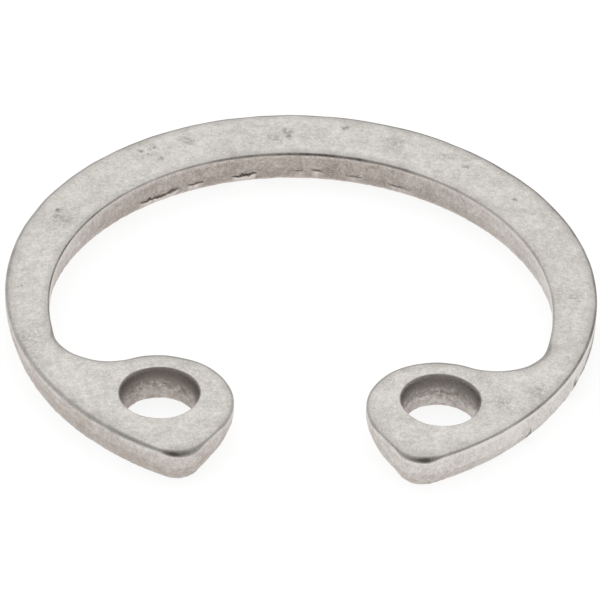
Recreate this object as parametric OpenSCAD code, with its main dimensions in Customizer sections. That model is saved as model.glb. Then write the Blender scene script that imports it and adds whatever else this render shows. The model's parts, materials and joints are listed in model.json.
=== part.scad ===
// Internal retaining ring: one stamped, open ring of spring steel with a plier lug at each end.
// The ring lies flat, its axis is Z, its gap faces -Y and its rolled edge is on top.

/* [Ring] */
// Outer diameter of the free ring
ring_d = 16.4; // [15:0.1:19]
// Thickness of the strip
thick = 1.0; // [0.8:0.05:1.2]
// Width of the strip at the back, opposite the gap
back_w = 2.02; // [1.8:0.02:2.4]
// Width that the narrowing strip would reach at the middle of the gap
front_w = 0.5; // [0.35:0.05:0.7]

/* [Lugs] */
// Radial height of a lug, from the rim to its nose
lug_h = 3.74; // [3.4:0.02:4]
// Width of the gap between the two noses
gap_w = 3.53; // [2.6:0.01:4.2]
// Radius of the rounded nose
nose_r = 2.0; // [1.8:0.01:2.1]
// Radius of the hollow where a lug runs into the strip
root_r = 1.54; // [1.2:0.02:1.8]
// Lean of an end face away from the middle plane
end_angle = 33; // [24:1:38]
// Radius of a lug's tip, where its end face meets the rim
tip_r = 0.8; // [0.5:0.05:1]

/* [Plier holes] */
// Diameter of a hole
hole_d = 2.0; // [1.7:0.02:2.3]
// How far a hole lies behind its nose's centre
hole_set = 0.32; // [0:0.01:0.5]

/* [Stamped edge] */
// Radius of the rolled top edge
roll_r = 0.12; // [0.06:0.01:0.2]
// Height of the torn band below the smooth band
tear_h = 0.5; // [0.3:0.05:0.55]
// How far the torn band leans in at the bottom face
tear_w = 0.18; // [0.08:0.01:0.2]
// How far the torn band of a hole leans out at the bottom face
hole_tear_w = 0.02; // [0.01:0.01:0.12]

/* [Hidden] */
$fn = 180;

steel_grey = [0.74, 0.73, 0.71];

// Step left where one curve of the outline takes over from the next
blend_step = 0.002;
// Angle that the nose's round runs on into the flat of the lug
nose_overlap = 20;
// How far a cut runs past the faces that it leaves
clear_by = 0.5;
// The rolled edge's circle against the radius that would touch both faces
roll_swell = 1.005;
// How far the flat of a lug runs under its rounded corners, against their radius
under_round = 0.5;
// How deep the metal behind an end face is, against the tip's radius
end_share = 0.8;

ring_r = ring_d / 2;
inner_r = (ring_d - back_w - front_w) / 2;
inner_c = [0, -(back_w - front_w) / 2];

// Nose of the left lug, set by the lug's height and the gap
nose_x = gap_w / 2 + nose_r;
nose_reach = ring_r - lug_h + nose_r;
nose_c = [-nose_x, -sqrt(pow(nose_reach, 2) - pow(nose_x, 2))];
hole_c = nose_c + [0, hole_set];

// End face: which way it looks, and which way it runs from nose to tip
end_out = [cos(end_angle), -sin(end_angle)];
end_run = [-sin(end_angle), -cos(end_angle)];

// Tip: touches the end face and the rim from inside
tip_off = nose_c * end_out + nose_r - tip_r;
tip_c = tip_off * end_out + sqrt(pow(ring_r - tip_r, 2) - pow(tip_off, 2)) * end_run;
end_len = (tip_c - nose_c) * end_run;
end_deep = end_share * tip_r;

// Root hollow: touches the inner curve from inside and the nose from outside
root_c = meet(inner_c, inner_r - root_r, nose_c, nose_r + root_r);

function unit(v) = v / norm(v);

// The point at distance ra from a and rb from b that lies to the right of the way from a to b
function meet(a, ra, b, rb) =
    let (gap = norm(b - a), way = unit(b - a), along = (ra * ra - rb * rb + gap * gap) / (2 * gap))
    a + along * way + sqrt(ra * ra - along * along) * [way[1], -way[0]];

// What the rolled edge takes off a wall that stands at x, with its metal on the side given by into
module roll_off(x, into) {
    difference() {
        translate([into > 0 ? x - clear_by : x - roll_r, thick - roll_r])
            square(clear_by + roll_r);
        translate([x + into * roll_r, thick - roll_r])
            circle(r = roll_r * roll_swell);
    }
}

// Section of metal that ends in a wall at x: rolled edge, smooth band and torn band
module metal_section(x) {
    difference() {
        polygon([[0, 0], [x - tear_w, 0], [x, tear_h], [x, thick], [0, thick]]);
        roll_off(x, -1);
    }
}

// Section of an open space that ends in a wall at x, with the same three bands
module space_section(x, lean) {
    low_lean = lean * (1 + clear_by / tear_h);
    low = -clear_by;
    high = thick + clear_by;
    union() {
        polygon([[0, low], [x + low_lean, low], [x, tear_h], [x, high], [0, high]]);
        roll_off(x, 1);
    }
}

// A round of metal with a stamped edge
module round_metal(r) {
    rotate_extrude()
        metal_section(r);
}

// A round opening with a stamped edge
module round_space(r, lean) {
    rotate_extrude()
        space_section(r, lean);
}

// Draws a feature of the left lug, and its mirror image on the right lug
module both_lugs() {
    children();
    mirror([1, 0, 0])
        children();
}

// A vertical prism that runs clear of both faces
module prism(outline) {
    translate([0, 0, -clear_by])
        linear_extrude(thick + 2 * clear_by)
            polygon(outline);
}

// The flat of a lug between its nose, its tip, the root hollow and the rim
module lug_flat() {
    prism([
        nose_c + under_round * nose_r * unit(root_c - nose_c),
        root_c,
        inner_c + ring_d * unit(root_c - inner_c),
        ring_d * unit(tip_c),
        tip_c + under_round * tip_r * unit(tip_c),
        tip_c + under_round * tip_r * end_out,
        nose_c + (nose_r - under_round * tip_r) * end_out
    ]);
}

// The opening between the two tips
module gap() {
    corner = ring_d * unit(tip_c);
    far = -2 * ring_d;
    prism([
        [0, 0],
        corner,
        [corner[0], far],
        [-corner[0], far],
        [-corner[0], corner[1]]
    ]);
}

// The strip with the flats of its lugs: a round cut by the inner curve, off its centre, and by the gap
module strip() {
    difference() {
        round_metal(ring_r);
        difference() {
            union() {
                translate(inner_c)
                    round_space(inner_r, tear_w);
                gap();
            }
            both_lugs()
                lug_flat();
        }
    }
}

// The straight end face between nose and tip
module end_face() {
    translate(nose_c + nose_r * end_out)
        rotate(-end_angle)
            rotate([90, 0, 0])
                linear_extrude(end_len)
                    translate([-end_deep, 0])
                        metal_section(end_deep);
}

// The rounded nose, from the end face to the root hollow and a little into the flat at both ends
module nose() {
    root_way = root_c - nose_c;
    start = -end_angle - nose_overlap;
    stop = atan2(root_way[1], root_way[0]) + nose_overlap;
    translate(nose_c)
        rotate_extrude(angle = stop - start, start = start)
            metal_section(nose_r - blend_step);
}

// The rounded tip between the end face and the rim
module tip() {
    translate(tip_c)
        round_metal(tip_r - blend_step);
}

// The hollow where a lug runs into the strip
module root_hollow() {
    translate(root_c)
        round_space(root_r - blend_step, tear_w);
}

// The hole that takes one tip of the pliers
module plier_hole() {
    translate(hole_c)
        round_space(hole_d / 2, hole_tear_w);
}

module retaining_ring() {
    color(steel_grey)
        difference() {
            union() {
                strip();
                both_lugs() {
                    end_face();
                    nose();
                    tip();
                }
            }
            both_lugs() {
                root_hollow();
                plier_hole();
            }
        }
}

retaining_ring();
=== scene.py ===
"""An internal retaining ring: one stamped, open ring of spring steel with a plier lug at each end."""
import json
import math

import bmesh
import bpy
from mathutils import Matrix, Vector, noise


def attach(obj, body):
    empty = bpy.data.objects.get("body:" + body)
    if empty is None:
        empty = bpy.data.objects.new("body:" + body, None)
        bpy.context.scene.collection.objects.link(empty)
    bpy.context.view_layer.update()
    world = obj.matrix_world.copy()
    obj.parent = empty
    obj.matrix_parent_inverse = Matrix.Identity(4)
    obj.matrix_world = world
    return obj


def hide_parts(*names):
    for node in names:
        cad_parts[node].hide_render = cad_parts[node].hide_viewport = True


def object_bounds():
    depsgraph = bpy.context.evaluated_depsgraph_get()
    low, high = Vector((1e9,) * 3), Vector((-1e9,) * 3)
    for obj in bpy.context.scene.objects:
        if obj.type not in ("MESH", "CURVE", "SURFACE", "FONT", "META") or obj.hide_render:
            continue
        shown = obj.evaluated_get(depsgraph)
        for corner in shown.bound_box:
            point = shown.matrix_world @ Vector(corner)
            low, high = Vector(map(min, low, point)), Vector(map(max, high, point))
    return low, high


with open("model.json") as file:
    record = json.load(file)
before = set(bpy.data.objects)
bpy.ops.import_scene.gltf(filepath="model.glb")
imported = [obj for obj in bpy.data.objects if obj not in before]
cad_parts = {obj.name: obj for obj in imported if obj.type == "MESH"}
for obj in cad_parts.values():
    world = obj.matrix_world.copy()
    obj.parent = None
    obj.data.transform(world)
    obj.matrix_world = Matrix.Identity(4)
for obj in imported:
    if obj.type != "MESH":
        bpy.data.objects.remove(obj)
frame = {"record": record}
cad_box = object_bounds()

# Sizes are in millimetres and angles in degrees. The gap faces -Y and the rolled edge is on top.
MM = 0.001
IMAGE_PX = 600

# The ring, its lugs and its holes, as the solid has them
mounts = {mount["name"]: mount for mount in frame["record"]["mounts"]}
THICK = (cad_box[1][2] - cad_box[0][2]) / MM
RING_R = mounts["rim"]["dims"]["r_mm"]
HOLE_R = mounts["left_plier_hole"]["dims"]["r_mm"]
HOLE_C = Vector(mounts["left_plier_hole"]["pos_m"][:2]) / MM
BACK_W = 2.02
FRONT_W = 0.5
LUG_H = 3.74
GAP_W = 3.53
NOSE_R = 2.0
ROOT_R = 1.54
END_ANGLE = 33
TIP_R = 0.8

# Rolled top edge: how far it reaches in on each stretch of the outline, and its drop against that reach
ROLL_REACH = {"rim": 0.13, "tip": 0.22, "end": 0.08, "nose": 0.13, "root": 0.15, "inner": 0.09, "hole": 0.115}
ROLL_DROP = 0.75
HOLE_ROLL_DROP = 3.5
# How much painted shade darkens the rolled edge of each stretch
ROLL_SHADE = {"rim": 0.85, "tip": 1.2, "end": 0.55, "nose": 0.6, "root": 0.6, "inner": 1.0, "hole": 0.25}
# Torn band: its usual height, and how far it leans in at the bottom of each stretch
TEAR_H = 0.5
TEAR_LEAN = {"rim": 0.17, "tip": 0.17, "end": 0.2, "nose": 0.26, "root": 0.18, "inner": 0.18, "hole": 0.0}

# How these change along a stretch: angle about its centre, roll's reach, its painted shade and tear's height
AROUND = {
    "rim": [
        (0, 0.1, 1.0, 0.48),
        (45, 0.17, 1.0, 0.48),
        (90, 0.15, 0.9, 0.55),
        (135, 0.14, 0.75, 0.6),
        (180, 0.15, 0.6, 0.66),
        (200, 0.17, 0.58, 0.76),
        (215, 0.18, 0.55, 0.6),
        (240, 0.18, 0.66, 0.5),
        (300, 0.1, 0.65, 0.42),
        (325, 0.1, 0.9, 0.34),
        (335, 0.1, 0.95, 0.36),
        (345, 0.1, 1.0, 0.42),
        (360, 0.1, 1.0, 0.48),
    ],
    "inner": [
        (0, 0.09, 0.5, 0.72),
        (30, 0.1, 0.5, 0.5),
        (56, 0.1, 0.55, 0.5),
        (68, 0.11, 0.85, 0.5),
        (90, 0.12, 1.1, 0.5),
        (104, 0.11, 1.0, 0.5),
        (115, 0.08, 0.65, 0.5),
        (136, 0.065, 0.5, 0.5),
        (146, 0.06, 0.95, 0.5),
        (160, 0.06, 1.0, 0.5),
        (185, 0.055, 0.9, 0.68),
        (220, 0.07, 0.6, 0.5),
        (345, 0.09, 0.5, 0.75),
        (360, 0.09, 0.5, 0.72),
    ],
    "tip": [
        (210, 0.18, 0.5, 0.5),
        (240, 0.22, 0.85, 0.5),
        (263, 0.22, 1.3, 0.5),
        (277, 0.22, 1.3, 0.5),
        (300, 0.22, 0.85, 0.5),
        (330, 0.18, 0.5, 0.5),
    ],
    "nose": [
        (0, 0.11, 0.5, 0.75),
        (90, 0.17, 0.75, 0.5),
        (180, 0.11, 0.5, 0.75),
        (270, 0.1, 0.55, 0.5),
        (360, 0.11, 0.5, 0.75),
    ],
    "root": [
        (190, 0.15, 0.6, 0.5),
        (285, 0.15, 0.6, 0.5),
        (302, 0.2, 0.6, 0.5),
        (325, 0.22, 0.6, 0.5),
        (347, 0.15, 0.6, 0.65),
    ],
}

# How uneven the roll and its painted shade are, and over what length
ROLL_UNEVEN = 0.25
ROLL_WAVE = 0.7
SHADE_UNEVEN = 0.4
SHADE_WAVE = 0.45
# Points each way over which the values of one stretch run into those of the next
RUN_IN = {"roll": 5, "edge_shade": 5, "tear": 20, "lean": 20}

# Painted shade begins on the top face before the roll: over what reach, and by what share of the roll's
# painted shade
SOFT_REACH = 0.2
SOFT_SHADE = 0.28
# On the rim's near side the painted shade gathers into a line as wide as that of this reach
SHARP_ROLL = 0.1
# How far the painted shade moves down the roll on walls that face the gap, and up on those that face the back
SHADE_TURN = 0.4
# How late in the roll the finish of the smooth band takes over
LAND_CURVE = 3

# Ragged upper edge of the torn band: its height, the share of its fine teeth, and the lengths of both
TEAR_JAG = 0.05
TEAR_TEETH = 0.5
TEAR_WAVE = 0.5
TEETH_WAVE = 0.12
# Face of the torn band: its curve, its roughness and grain, and how fast the roughness sets in
LEAN_CURVE = 1.4
TEAR_ROUGH = 0.013
TEAR_GRAIN = 0.16
ROUGH_RUN_IN = 6
# Chips in the bottom edge: height and length
EDGE_CHIP = 0.025
CHIP_WAVE = 0.3

# Places where the tear bit deep: angles about the stretch's centre, height above the bottom, and depth
TEAR_OUTS = {
    "inner": [
        (120.7, 131.7, 0.29, 0.1),
        (114, 118.5, 0.35, 0.07),
        (101, 107, 0.31, 0.09),
        (85, 88, 0.4, 0.035),
        (89.5, 92, 0.38, 0.03),
        (75.5, 79.5, 0.32, 0.03),
        (63, 70, 0.28, 0.03),
    ],
    "rim": [
        (334.7, 337.7, 0.22, 0.1),
        (318, 320, 0.2, 0.09),
    ],
}
# How full such a place is towards its two ends
HUMP_CURVE = 0.5
# Line of the cracks: its share of the torn band's height elsewhere, how far it strays, and over what length
CRACK_AT = 0.6
CRACK_STRAY = 0.3
CRACK_STRAY_WAVE = 1.1
# Jags of a crack: height, share of the fine ones, and the lengths of both; and how uneven its depth is
CRACK_JAG = 0.08
CRACK_TEETH = 0.8
CRACK_WAVE = 0.3
CRACK_TEETH_WAVE = 0.1
DEPTH_UNEVEN = 0.5
# Half height of a crack's mouth, how much of it is open, how uneven that is, and over what length
CRACK_HALF = 0.035
CRACK_OPEN = 0.9
OPEN_UNEVEN = 0.7
OPEN_WAVE = 0.2
# Half mouths that a crack keeps from the smooth band and from the bottom
CRACK_FROM_TOP = 2
CRACK_FROM_LOW = 3
# Inside a crack: places of its roof and floor in the half mouth, darkness of the painted shade on its floor,
# and the floor's share of the lip's painted highlight
CRACK_ROOF = 0.4
CRACK_FLOOR = 0.2
FLOOR_DARK = 0.6
FLOOR_LIP = 0.4
# Depth at which a crack's painted shade is full
CRACK_DARK = 0.1
# Lip under a crack: its push as a share of the depth, the push at which its painted highlight is full, the
# least share of its push that is left, the length over which the push changes, and how its painted highlight
# fades downward
LIP_OUT = 0.7
LIP_BRIGHT = 0.045
LIP_LEAST = 0.2
LIP_WAVE = 0.15
LIP_FADE = 0.5

# Places low on the wall darkened by painted shade: angles, height of their top, and darkness; then the fade
# and wander of that top
SHADE_SPOTS = {"rim": [(336, 359, 0.7, 0.85), (334.4, 337.2, 0.66, 1.0), (318.3, 319.7, 0.42, 1.0)]}
SHADE_SPOT_FADE = 0.08
SPOT_UNEVEN = 0.35
SPOT_WAVE = 0.25

# Spacing of the mesh along an edge, its rows on each band of the wall, and its margin on the flat faces
EDGE_STEP = 0.035
ROLL_ROWS = 6
LAND_ROWS = 4
TEAR_ROWS = 7
FLAT_MARGIN = 0.04
# Edges that turn by more than this are shaded sharp
SHARP_ANGLE = 42
# What each vertex tells the material, and how walls share in the two painted shades that follow their
# direction
SHARES = ("rolled", "sheared", "torn", "crevice", "lip", "inward", "punched")
# Painted shade on the inner curve, growing as its wall turns to face the gap
INWARD_CURVE = 1.6
# Painted shade on the hole walls: full on those that face the gap, none on those that face the back
HOLE_SHADE_FROM = 0.85

# Dull marks left on the top face by tumbling: place, reach and strength
TOP_MARKS = [
    (-6.8, 2.7, 0.6, 0.4),
    (-6.92, 3.1, 0.2, 1.1),
    (-6.97, 2.85, 0.17, 0.9),
    (-4.4, 6.1, 0.5, 0.25),
    (-4.67, 6.1, 0.17, 0.9),
    (-4.35, 6.27, 0.17, 0.8),
    (-4.45, 5.95, 0.15, 0.7),
    (-4.1, 5.8, 0.15, 0.7),
    (-3.34, 6.7, 0.36, 0.65),
    (-0.48, 7.28, 0.26, 1.0),
    (-0.44, 7.08, 0.2, 0.8),
    (-0.8, 6.9, 0.4, 0.4),
    (1.22, 7.52, 0.18, 0.8),
    (1.69, 7.44, 0.12, 0.5),
    (2.7, 6.9, 0.5, 0.4),
    (4.2, 6.2, 0.35, 0.4),
    (4.7, 5.7, 0.16, 0.8),
    (5.5, 5.0, 0.35, 0.35),
    (6.1, 4.2, 0.14, 0.9),
    (-7.8, -0.4, 0.13, 1.0),
    (-7.8, 0.3, 0.12, 0.7),
    (-7.4, -2.7, 0.55, 0.4),
    (7.6, -0.3, 0.3, 0.4),
    (5.4, -5.0, 0.4, 0.4),
    (6.4, -4.5, 0.45, 0.4),
]
# How far a mark's edge wanders, over what length and in how much detail
MARK_WARP = 0.2
MARK_WAVE = 0.25
MARK_DETAIL = 4

# Finishes, painted shades and a painted highlight, as linear colours
BRIGHT_STEEL = (0.76, 0.735, 0.7, 1)
DULL_STEEL = (0.53, 0.505, 0.47, 1)
MARKED_STEEL = (0.29, 0.275, 0.255, 1)
# Painted shade along the rolled edge
ROLL_SHADE_COLOUR = (0.125, 0.11, 0.1, 1)
SHEARED_STEEL = (0.77, 0.745, 0.72, 1)
# Painted highlight on the lips under the cracks
LIP_HIGHLIGHT = (0.9, 0.84, 0.8, 1)
TORN_STEEL = (0.51, 0.455, 0.415, 1)
# Painted shade on the inner wall that faces the gap: its dark and its pale end
INNER_SHADE_DARK = (0.31, 0.268, 0.24, 1)
INNER_SHADE_PALE = (0.64, 0.575, 0.535, 1)
# Painted shade in the holes
HOLE_SHADE_COLOUR = (0.23, 0.206, 0.184, 1)
# Painted shade in the cracks and low on the wall
WALL_SHADE_COLOUR = (0.16, 0.135, 0.117, 1)

# Grains of the tumbled steel, from fine over speckle and blotch to cloud: size, detail and warp of each,
# and the roughness and mean of all
GRAINS = [(0.05, 2, 0.0), (0.12, 3, 0.0), (0.35, 4, 0.4), (1.1, 5, 0.3)]
GRAIN_ROUGH = 0.6
GRAIN_MEAN = 0.5
# How strongly each grain sways the top face, the walls, the painted shade on the inner wall and the painted
# shade in the holes, and the fine grain alone the marks
TOP_SWAY = (1.7, 1.4, 1.0, 1.1)
WALL_SWAY = (1.2, 1.12, 0.8, 0.88)
INNER_SWAY = (-1.4, -0.84, -0.6, -0.66)
HOLE_SHADE_SWAY = (0.5, 0.4, 0.2, 0.35)
MARK_SWAY = 0.5
# Shares of dull steel and of the pale end of the inner wall's painted shade about which the grains sway, and
# the warmth that the torn band adds
DULL_MEAN = 0.5
PALE_MEAN = 0.43
TORN_WARM = 0.15
# Runs between finishes, painted shades and the painted highlight: the low and high of a value, and the shares
# that go with them
WARM_ACROSS = (-4.0, 6.0, 0.7, 0.32)
WARM_TOP = (0.74, 0.88, 0.0, -0.3)
PALE_LOW = (0.03, 0.12, 0.6, 0.0)
PALE_TOP = (0.8, 0.92, 0.0, 0.4)
HOLE_SHADE_RUN = (0.24, 0.66, 0.0, 1.0)
HOLE_SHADE_BREAK = (0.3, 0.7, 1.0, 0.75)
MARK_BREAK = (0.36, 0.6, 0.3, 1.1)
LIP_BREAK = (0.8, 1.15, 0.6, 1.0)
ROLL_BREAK = (0.7, 1.25, 1.0, 0.7)
WALL_SHADE_BREAK = (0.35, 0.6, 0.6, 1.0)
# Roughness, with what dulling and tearing add, and the relief of the grain
ROUGHNESS = 0.5
DULL_ROUGH = 0.15
TORN_ROUGH = 0.1
SPECKLE_RELIEF = 0.8
TORN_RELIEF = 2.0
BUMP_STRENGTH = 0.35
BUMP_HEIGHT = 0.012

# Camera: aimed at a point on the table, and turned and rolled as the photograph was taken
AIM = Vector((-0.018, 0.552, 0))
CAMERA_AZIMUTH = -0.85
CAMERA_ELEVATION = 37.72
CAMERA_ROLL = 2.04
CAMERA_DISTANCE = 112.7
CAMERA_NEAR = 10
FOCAL_PX = 4028
SENSOR_MM = 36

# Table: its own colour, its glow to the eye and half its width
TABLE_COLOUR = (0.25, 0.25, 0.25, 1)
TABLE_GLOW = 0.82
TABLE_HALF = 2000
# Sky: how far towards the camera it begins and ends to dim, and its strength at both
SKY = (0.1, 0.9, 1.25, 0.8)
# Softbox overhead
SOFTBOX_SIZE = 500
SOFTBOX_PLACE = Vector((-60, 120, 450))
SOFTBOX_POWER = 0.15


class Wire:
    """One output of a shader node. Arithmetic on it adds Math nodes to its tree."""

    def __init__(self, tree, output=None):
        self.tree = tree
        self.output = output

    def node(self, kind, settings=None, sockets=None, output=0):
        """Adds a node: its settings come first, then the values or links of its sockets."""
        made = self.tree.nodes.new(kind)
        for name, value in (settings or {}).items():
            setattr(made, name, value)
        for name, value in (sockets or {}).items():
            if isinstance(value, Wire):
                self.tree.links.new(value.output, made.inputs[name])
            else:
                made.inputs[name].default_value = value
        return Wire(self.tree, made.outputs[output] if made.outputs else None)

    def math(self, operation, *values):
        return self.node("ShaderNodeMath", {"operation": operation}, dict(enumerate(values)))

    def __add__(self, other):
        return self.math("ADD", self, other)

    def __sub__(self, other):
        return self.math("SUBTRACT", self, other)

    def __rsub__(self, other):
        return self.math("SUBTRACT", other, self)

    def __mul__(self, other):
        return self.math("MULTIPLY", self, other)

    __radd__ = __add__
    __rmul__ = __mul__


def blend(amount, first, second):
    """A colour between two, by the amount of the second."""
    sockets = {0: amount, 6: first, 7: second}
    return amount.node("ShaderNodeMix", {"data_type": "RGBA"}, sockets, 2)


def ease(value, low, high, start, stop):
    """Goes smoothly from start to stop while a value goes from low to high."""
    sockets = {"Value": value, 1: low, 2: high, 3: start, 4: stop}
    return value.node("ShaderNodeMapRange", {"interpolation_type": "SMOOTHSTEP"}, sockets)


def polar(radius, angle):
    """The point at a distance and an angle from the origin, in plan."""
    return radius * Vector((math.cos(math.radians(angle)), math.sin(math.radians(angle))))


def angle_of(way):
    """The direction of a vector in plan, from 0 to 360."""
    return math.degrees(math.atan2(way.y, way.x)) % 360


def meeting_point(a, from_a, b, from_b):
    """The point at those distances from a and b that lies to the right of the way from a to b."""
    span = (b - a).length
    way = (b - a) / span
    along = (from_a**2 - from_b**2 + span**2) / (2 * span)
    aside = math.sqrt(from_a**2 - along**2)
    return a + along * way + aside * Vector((way.y, -way.x))


class EdgePoint:
    """A point of the outline: place, way out of the metal, stretch, angle, and the edge's sizes there."""

    def __init__(self, place, out, stretch, angle):
        self.place = place
        self.out = out
        self.stretch = stretch
        self.angle = angle % 360
        self.roll = ROLL_REACH[stretch]
        self.edge_shade = ROLL_SHADE[stretch]
        self.tear = TEAR_H
        self.lean = TEAR_LEAN[stretch]

    def mirrored(self):
        place = Vector((-self.place.x, self.place.y))
        out = Vector((-self.out.x, self.out.y))
        return EdgePoint(place, out, self.stretch, 180 - self.angle)


def arc_points(stretch, centre, radius, start, stop, side):
    """Points along an arc, without its last. The metal is inside the arc for side 1, outside it for -1."""
    count = max(2, round(abs(math.radians(stop - start)) * radius / EDGE_STEP))
    angles = [start + (stop - start) * i / count for i in range(count)]
    return [EdgePoint(centre + polar(radius, a), polar(side, a), stretch, a) for a in angles]


def line_points(stretch, first, last, out):
    """Points along a straight edge, without its last."""
    count = max(2, round((last - first).length / EDGE_STEP))
    return [EdgePoint(first.lerp(last, i / count), out, stretch, 0) for i in range(count)]


def ring_outline():
    """The closed outline: rim, tip, end face, nose, root hollow and inner curve of each half."""
    inner_r = RING_R - (BACK_W + FRONT_W) / 2
    inner_c = Vector((0, (FRONT_W - BACK_W) / 2))
    nose_x = GAP_W / 2 + NOSE_R
    nose_c = Vector((-nose_x, -math.sqrt((RING_R - LUG_H + NOSE_R) ** 2 - nose_x**2)))
    end_out = polar(1, -END_ANGLE)
    end_run = Vector((end_out.y, -end_out.x))
    tip_off = nose_c.dot(end_out) + NOSE_R - TIP_R
    tip_c = tip_off * end_out + math.sqrt((RING_R - TIP_R) ** 2 - tip_off**2) * end_run
    root_c = meeting_point(inner_c, inner_r - ROOT_R, nose_c, NOSE_R + ROOT_R)
    back = 90
    end_at = 360 - END_ANGLE
    root_at = angle_of(root_c - nose_c)
    inner_at = angle_of(root_c - inner_c)
    half = arc_points("rim", Vector((0, 0)), RING_R, back, angle_of(tip_c), 1)
    half += arc_points("tip", tip_c, TIP_R, angle_of(tip_c), end_at, 1)
    half += line_points("end", tip_c + TIP_R * end_out, nose_c + NOSE_R * end_out, end_out)
    half += arc_points("nose", nose_c, NOSE_R, -END_ANGLE, root_at, 1)
    half += arc_points("root", root_c, ROOT_R, root_at + 180, inner_at, -1)
    half += arc_points("inner", inner_c, inner_r, inner_at, back, -1)
    turn = EdgePoint(inner_c + polar(inner_r, back), polar(-1, back), "inner", back)
    return half + [turn] + [point.mirrored() for point in reversed(half[1:])]


def hole_outline(centre):
    """The closed outline of a plier hole."""
    return arc_points("hole", centre, HOLE_R, 0, 360, -1)


def ragged(place, size):
    """A fractal value about 0 that changes over about the given size."""
    return noise.fractal(place / size, 1.0, 2.0, 4)


def settle_edge(outline):
    """Varies the stamped edge around the outline, and runs each stretch's values smoothly into the next's."""
    for point in outline:
        place = point.place.to_3d()
        stops = AROUND.get(point.stretch, [])
        for near, far in zip(stops, stops[1:]):
            if near[0] <= point.angle < far[0]:
                share = (point.angle - near[0]) / (far[0] - near[0])
                point.roll, point.edge_shade, point.tear = (a + share * (b - a) for a, b in zip(near[1:], far[1:]))
        point.roll *= 1 + ROLL_UNEVEN * ragged(place, ROLL_WAVE)
        point.edge_shade *= 1 + SHADE_UNEVEN * ragged(place, SHADE_WAVE)
    for name, run_in in RUN_IN.items():
        values = [getattr(point, name) for point in outline]
        for i, point in enumerate(outline):
            near = [values[(i + k) % len(outline)] for k in range(-run_in, run_in + 1)]
            setattr(point, name, sum(near) / len(near))


def hump(value, low, high):
    """Rises from 0 at low to 1 in the middle and back to 0 at high."""
    if not low < value < high:
        return 0.0
    return math.sin(math.pi * (value - low) / (high - low)) ** HUMP_CURVE


def crack(point):
    """Height, depth and half mouth of the crack in the torn band at an edge point."""
    place = point.place.to_3d()
    height = point.tear * (CRACK_AT + CRACK_STRAY * ragged(place, CRACK_STRAY_WAVE))
    depth = 0.0
    for low, high, at, deep in TEAR_OUTS.get(point.stretch, []):
        share = hump(point.angle, low, high)
        height += share * (at - height)
        depth += share * deep * (1 + DEPTH_UNEVEN * ragged(place, CRACK_WAVE))
    jags = ragged(place, CRACK_WAVE) + CRACK_TEETH * ragged(place, CRACK_TEETH_WAVE)
    height += min(1, depth / CRACK_DARK) * CRACK_JAG * jags
    return height, depth, CRACK_HALF * (CRACK_OPEN + OPEN_UNEVEN * ragged(place, OPEN_WAVE))


def shade_spot(point, z):
    """How dark the painted shade low on the wall is at a height."""
    uneven = 1 + SPOT_UNEVEN * ragged(point.place.to_3d(), SPOT_WAVE)
    dark = 0.0
    for low, high, top, deep in SHADE_SPOTS.get(point.stretch, []):
        edge = top * uneven * hump(point.angle, low, high)
        dark = max(dark, deep * min(1, max(0, (edge - z) / SHADE_SPOT_FADE)))
    return dark


def roll_rows(point, drop):
    """Rows down the rolled edge."""
    in_hole = point.stretch == "hole"
    soft = 0 if in_hole else SOFT_SHADE
    spread = 1 - SHADE_TURN * point.out.y
    near_rim = point.stretch == "rim" and point.out.y < 0
    sharp = max(1, point.roll / SHARP_ROLL) if near_rim else 1
    rows = []
    for i in range(ROLL_ROWS + 1):
        turn = i / ROLL_ROWS
        a = turn * math.pi / 2
        # rolled is the share of painted shade in the roll
        rolled = point.edge_shade * max(soft * (1 - turn), math.sin(math.pi * turn**spread) ** sharp)
        sheared = min(1, i) if in_hole else turn**LAND_CURVE
        out = -point.roll * (1 - math.sin(a))
        z = THICK - drop * (1 - math.cos(a))
        rows.append((out, z, rolled, sheared, 0, 0, 0))
    return rows


def land_rows(point, top, low):
    """Rows down the smooth sheared band, between two heights."""
    heights = [top + (low - top) * i / LAND_ROWS for i in range(1, LAND_ROWS + 1)]
    return [(0, z, 0, 1, 0, shade_spot(point, z), 0) for z in heights]


def torn_rows(point, top):
    """Rows down the torn band from its top: to the crack's roof, through the crack and over its lip."""
    place = point.place.to_3d()
    crack_z, deep, half = crack(point)
    crack_z = min(crack_z, top - CRACK_FROM_TOP * CRACK_HALF)
    crack_z = max(crack_z, CRACK_FROM_LOW * CRACK_HALF)
    roof = crack_z + half
    sill = crack_z - half
    # Painted shade inside the crack, growing with its depth
    dark = min(1, deep / CRACK_DARK) ** 2
    lip_out = LIP_OUT * deep * max(LIP_LEAST, 1 + ragged(place, LIP_WAVE)) if point.stretch == "inner" else 0
    # Painted highlight on the lip, growing with its push
    lip = min(1, lip_out / LIP_BRIGHT)
    chip = EDGE_CHIP * max(0, ragged(place, CHIP_WAVE))
    rows = []

    def add_row(z, push, crevice, lip_share):
        down = 1 - z / top
        grain = ragged(Vector((place.x, place.y, z)), TEAR_GRAIN)
        rough = min(1, ROUGH_RUN_IN * down) * TEAR_ROUGH * grain
        out = -point.lean * down**LEAN_CURVE + rough + push
        rows.append((out, z, 0, 0, 1, max(crevice, shade_spot(point, z)), lip_share))

    for i in range(1, TEAR_ROWS + 1):
        add_row(top + (roof - top) * i / TEAR_ROWS, 0, 0, 0)
    add_row(crack_z + CRACK_ROOF * half, -deep, dark, 0)
    add_row(crack_z - CRACK_FLOOR * half, -deep, FLOOR_DARK * dark, FLOOR_LIP * lip)
    for i in range(TEAR_ROWS + 1):
        down = i / TEAR_ROWS
        add_row(sill + (chip - sill) * down, lip_out * (1 - down), 0, lip * (1 - down) ** LIP_FADE)
    return rows


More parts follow.
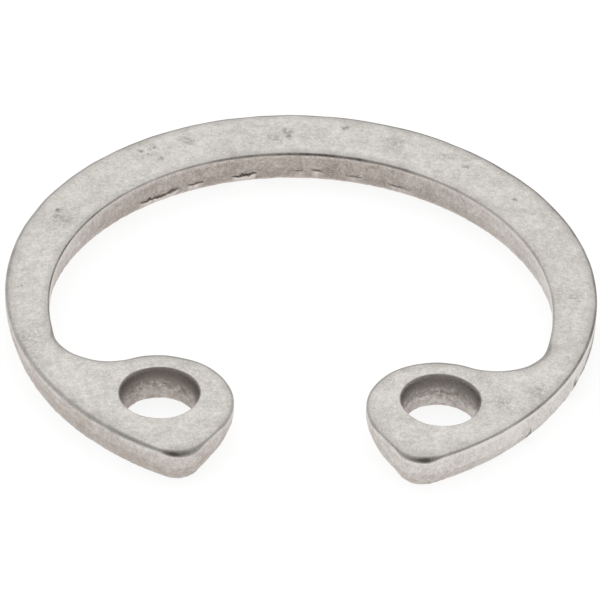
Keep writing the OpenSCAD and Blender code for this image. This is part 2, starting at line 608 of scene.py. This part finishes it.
def wall_rows(point):
    """Rows down the wall at an edge point: way out, height, and the shares from rolled to lip, among them
    painted shade and a painted highlight.
    """
    place = point.place.to_3d()
    in_hole = point.stretch == "hole"
    drop = point.roll * (HOLE_ROLL_DROP if in_hole else ROLL_DROP)
    margin = FLAT_MARGIN if in_hole else SOFT_REACH
    teeth = ragged(place, TEAR_WAVE) + TEAR_TEETH * ragged(place, TEETH_WAVE)
    tear_top = point.tear + TEAR_JAG * teeth
    rows = [(-point.roll - margin, THICK, 0, 0, 0, 0, 0)]
    rows += roll_rows(point, drop)
    rows += land_rows(point, THICK - drop, tear_top)
    rows += torn_rows(point, tear_top)
    rows.append((-point.lean - FLAT_MARGIN, 0, 0, 0, 0, 0, 0))
    return rows


def add_wall(mesh, outline):
    """Adds the stamped wall along a closed outline. Returns the edges of its top and bottom loops."""
    layers = [mesh.verts.layers.float[name] for name in SHARES]
    columns = []
    for point in outline:
        column = []
        # Painted shade on the inner curve and in the holes, by the way the wall faces
        inward = max(0, -point.out.y) ** INWARD_CURVE if point.stretch == "inner" else 0
        punched = min(1, max(0, HOLE_SHADE_FROM - point.out.y)) if point.stretch == "hole" else 0
        for out, z, *shares in wall_rows(point):
            plan = point.place + out * point.out
            vert = mesh.verts.new((plan.x * MM, plan.y * MM, z * MM))
            for layer, share in zip(layers, shares + [inward, punched]):
                vert[layer] = share
            column.append(vert)
        columns.append(column)
    for near, far in zip(columns, columns[1:] + columns[:1]):
        for i in range(len(near) - 1):
            mesh.faces.new((near[i], near[i + 1], far[i + 1], far[i]))
    loops = []
    for row in (0, -1):
        ends = [column[row] for column in columns]
        loops.append([mesh.edges.get(pair) for pair in zip(ends, ends[1:] + ends[:1])])
    return loops


def stamped_ring():
    """The whole ring as one closed mesh."""
    mesh = bmesh.new()
    for name in SHARES:
        mesh.verts.layers.float.new(name)
    outlines = [ring_outline(), hole_outline(HOLE_C), hole_outline(Vector((-HOLE_C.x, HOLE_C.y)))]
    tops = []
    bottoms = []
    for outline in outlines:
        settle_edge(outline)
        top, bottom = add_wall(mesh, outline)
        tops += top
        bottoms += bottom
    for loop in (tops, bottoms):
        bmesh.ops.triangle_fill(mesh, use_beauty=True, edges=loop)
    bmesh.ops.recalc_face_normals(mesh, faces=mesh.faces)
    data = bpy.data.meshes.new("stamped_ring")
    mesh.to_mesh(data)
    mesh.free()
    data.shade_smooth()
    data.set_sharp_from_angle(angle=math.radians(SHARP_ANGLE))
    ring = bpy.data.objects.new("stamped_ring", data)
    bpy.context.scene.collection.objects.link(ring)
    return ring


def new_tree(owner):
    """Empties a material's or world's nodes and gives a wire to build on."""
    owner.use_nodes = True
    owner.node_tree.nodes.clear()
    return Wire(owner.node_tree)


def top_marks(base, place):
    """How strongly the dull marks of the top face show at a place."""
    sockets = {"Vector": place, "Scale": 1 / MARK_WAVE, "Detail": MARK_DETAIL}
    warp = base.node("ShaderNodeTexNoise", None, sockets, "Color")
    shift = base.node("ShaderNodeVectorMath", {"operation": "SCALE"}, {0: warp, "Scale": 2 * MARK_WARP})
    warped = base.node("ShaderNodeVectorMath", {"operation": "ADD"}, {0: place, 1: shift})
    marks = None
    for x, y, reach, strength in TOP_MARKS:
        centre = (x + MARK_WARP, y + MARK_WARP, THICK + MARK_WARP)
        away = base.node("ShaderNodeVectorMath", {"operation": "DISTANCE"}, {0: warped, 1: centre}, "Value")
        mark = ease(away, 0.0, reach, strength, 0.0)
        marks = mark if marks is None else marks.math("MAXIMUM", marks, mark)
    return marks


def tumbled_steel():
    """Bare spring steel, satin from tumbling and pinkish grey where it tore, with painted shade in the rolled
    edge, in the cracks, low on the wall, in the holes and on the inner wall, and a painted highlight on the
    lips under the cracks.
    """
    material = bpy.data.materials.new("tumbled_steel")
    base = new_tree(material)
    spot = base.node("ShaderNodeTexCoord", output="Object")
    place = base.node("ShaderNodeVectorMath", {"operation": "SCALE"}, {0: spot, "Scale": 1 / MM})
    level = base.node("ShaderNodeSeparateXYZ", None, {"Vector": place}, "Z")
    across = base.node("ShaderNodeSeparateXYZ", None, {"Vector": place}, "X")

    def grain(size, detail, warp):
        sockets = {"Vector": place, "Scale": 1 / size, "Detail": detail}
        sockets |= {"Roughness": GRAIN_ROUGH, "Distortion": warp}
        return base.node("ShaderNodeTexNoise", None, sockets)

    grains = [grain(*facts) for facts in GRAINS]
    fine, speckle, blotch = grains[:3]

    def sway(gains):
        """How far the grains together move a finish from its mean."""
        return sum((one - GRAIN_MEAN) * gain for one, gain in zip(grains, gains))

    shares = [base.node("ShaderNodeAttribute", {"attribute_name": name}, None, "Fac") for name in SHARES]
    rolled, sheared, torn, crevice, lip, inward, punched = shares

    dulled = DULL_MEAN + sway(TOP_SWAY)
    face = blend(dulled, BRIGHT_STEEL, DULL_STEEL)
    broken = ease(speckle + (fine - GRAIN_MEAN) * MARK_SWAY, *MARK_BREAK)
    face = blend(top_marks(base, place) * broken, face, MARKED_STEEL)

    warm = ease(across, *WARM_ACROSS) + ease(level, *WARM_TOP) + sway(WALL_SWAY) + torn * TORN_WARM
    wall = blend(warm, SHEARED_STEEL, TORN_STEEL)
    pale = PALE_MEAN + ease(level, *PALE_LOW) + ease(level, *PALE_TOP) + sway(INNER_SWAY)
    # Painted shade on the inner wall that faces the gap, lighter towards its top and bottom
    wall = blend(inward, wall, blend(pale, INNER_SHADE_DARK, INNER_SHADE_PALE))
    # Painted shade in the holes: dark high on the walls that face the gap, lighter lower down
    shaded = ease(level + sway(HOLE_SHADE_SWAY), *HOLE_SHADE_RUN) * ease(fine, *HOLE_SHADE_BREAK)
    wall = blend(punched * shaded, wall, HOLE_SHADE_COLOUR)
    # Painted highlight on the lips under the cracks
    wall = blend(lip * ease(speckle + fine, *LIP_BREAK), wall, LIP_HIGHLIGHT)

    colour = blend(sheared + torn, face, wall)
    # Painted shade along the rolled edge
    colour = blend(rolled * ease(speckle + blotch, *ROLL_BREAK), colour, ROLL_SHADE_COLOUR)
    # Painted shade in the cracks and low on the wall
    colour = blend(crevice * ease(speckle, *WALL_SHADE_BREAK), colour, WALL_SHADE_COLOUR)
    rough = ROUGHNESS + (dulled - DULL_MEAN) * DULL_ROUGH + torn * TORN_ROUGH
    relief = fine + speckle * (SPECKLE_RELIEF + torn * TORN_RELIEF)
    sockets = {"Strength": BUMP_STRENGTH, "Distance": BUMP_HEIGHT * MM, "Height": relief}
    bump = base.node("ShaderNodeBump", None, sockets)
    sockets = {"Base Color": colour, "Metallic": 1.0, "Roughness": rough, "Normal": bump}
    shader = base.node("ShaderNodeBsdfPrincipled", None, sockets)
    base.node("ShaderNodeOutputMaterial", None, {"Surface": shader})
    return material


def table():
    """A plain pale table that stays white in the open and keeps the ring's soft shadow."""
    half = TABLE_HALF * MM
    corners = [(-half, -half, 0), (half, -half, 0), (half, half, 0), (-half, half, 0)]
    data = bpy.data.meshes.new("table")
    data.from_pydata(corners, [], [(0, 1, 2, 3)])
    top = bpy.data.objects.new("table", data)
    bpy.context.scene.collection.objects.link(top)
    material = bpy.data.materials.new("pale_table")
    base = new_tree(material)
    path = base.node("ShaderNodeLightPath").output.node
    seen = Wire(base.tree, path.outputs["Is Camera Ray"])
    for name in ("Is Glossy Ray", "Is Transmission Ray"):
        seen = seen.math("MAXIMUM", seen, Wire(base.tree, path.outputs[name]))
    matt = base.node("ShaderNodeBsdfDiffuse", None, {"Color": TABLE_COLOUR})
    glow = base.node("ShaderNodeEmission", None, {"Strength": seen * TABLE_GLOW})
    both = base.node("ShaderNodeAddShader", None, {0: matt, 1: glow})
    base.node("ShaderNodeOutputMaterial", None, {"Surface": both})
    data.materials.append(material)


def studio():
    """A pale sky that dims towards the front, and one softbox overhead."""
    world = bpy.data.worlds.new("studio")
    bpy.context.scene.world = world
    base = new_tree(world)
    way = base.node("ShaderNodeTexCoord", output="Generated")
    front = (0, -math.cos(math.radians(CAMERA_ELEVATION)), math.sin(math.radians(CAMERA_ELEVATION)))
    facing = base.node("ShaderNodeVectorMath", {"operation": "DOT_PRODUCT"}, {0: way, 1: front}, "Value")
    sky = base.node("ShaderNodeBackground", None, {"Strength": ease(facing, *SKY)})
    base.node("ShaderNodeOutputWorld", None, {"Surface": sky})
    lamp = bpy.data.lights.new("softbox", "AREA")
    lamp.shape = "DISK"
    lamp.size = SOFTBOX_SIZE * MM
    lamp.energy = SOFTBOX_POWER
    softbox = bpy.data.objects.new("softbox", lamp)
    softbox.location = SOFTBOX_PLACE * MM
    softbox.rotation_euler = (-SOFTBOX_PLACE).to_track_quat("-Z", "Y").to_euler()
    bpy.context.scene.collection.objects.link(softbox)


def photo_camera():
    """The camera at the photograph's distance, angle and roll."""
    turn = Matrix.Rotation(math.radians(CAMERA_AZIMUTH), 4, "Z")
    tilt = Matrix.Rotation(math.radians(90 - CAMERA_ELEVATION), 4, "X")
    roll = Matrix.Rotation(math.radians(CAMERA_ROLL), 4, "Z")
    step_back = Matrix.Translation((0, 0, CAMERA_DISTANCE * MM))
    data = bpy.data.cameras.new("photo_camera")
    data.sensor_width = SENSOR_MM
    data.lens = FOCAL_PX * SENSOR_MM / IMAGE_PX
    data.clip_start = CAMERA_NEAR * MM
    camera = bpy.data.objects.new("photo_camera", data)
    camera.matrix_world = Matrix.Translation(AIM * MM) @ turn @ tilt @ step_back @ roll
    bpy.context.scene.collection.objects.link(camera)
    bpy.context.scene.camera = camera


ring = stamped_ring()
ring.data.materials.append(tumbled_steel())
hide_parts("retaining_ring")
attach(ring, "root")
table()
studio()
photo_camera()
bpy.context.scene.view_settings.view_transform = "Standard"
